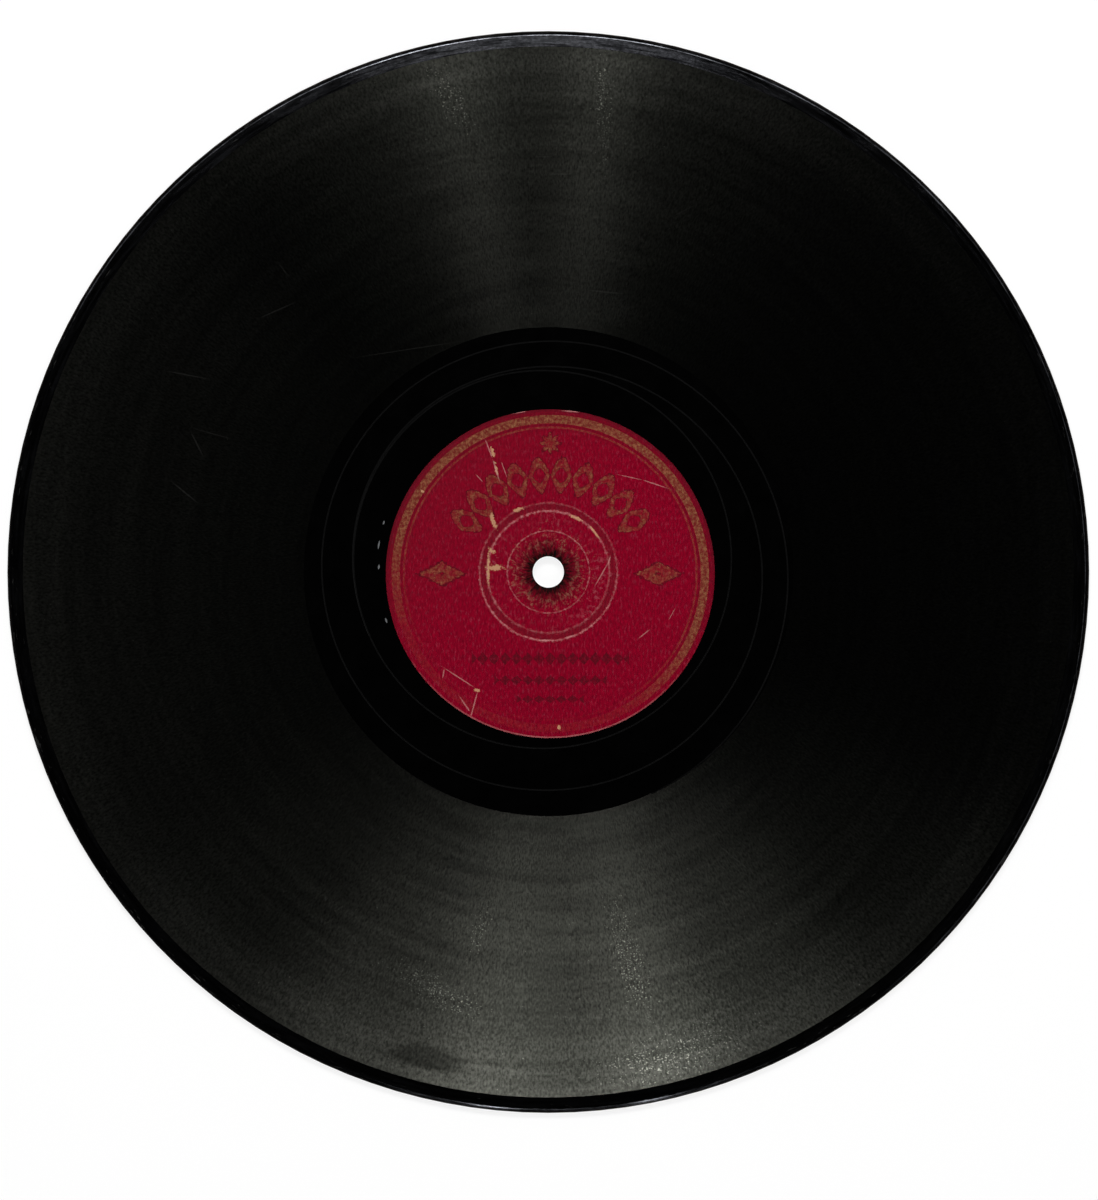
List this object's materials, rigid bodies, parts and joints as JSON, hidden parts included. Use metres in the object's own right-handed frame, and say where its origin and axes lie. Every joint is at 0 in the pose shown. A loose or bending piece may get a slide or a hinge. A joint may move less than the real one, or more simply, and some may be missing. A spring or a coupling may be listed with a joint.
{
  "type": "shellac disc record",
  "caption": "Flat laminated shellac disc record with a fine groove in each face, a red paper label pressed into each side and a spindle hole through the middle.",
  "frame": {"origin": "on the disc's axis, at the playing surface of side B, which the record rests on", "axes": "+Z along the spindle hole, out of side A; +Y towards the top of the label"},
  "size_m": [0.25, 0.25, 0.0022],
  "materials": {
    "label_paper": "printed, calendered",
    "face_shellac": "pressed, glossy",
    "ply_paper": "kraft, soaked with shellac",
    "core_stock": "coarse, ground at the rim"
  },
  "bodies": {
    "root": {"label_a": "label_paper", "playing_face_a": "face_shellac", "paper_ply_a": "ply_paper", "core": "core_stock", "paper_ply_b": "ply_paper", "playing_face_b": "face_shellac", "label_b": "label_paper"}
  },
  "joints": []
}
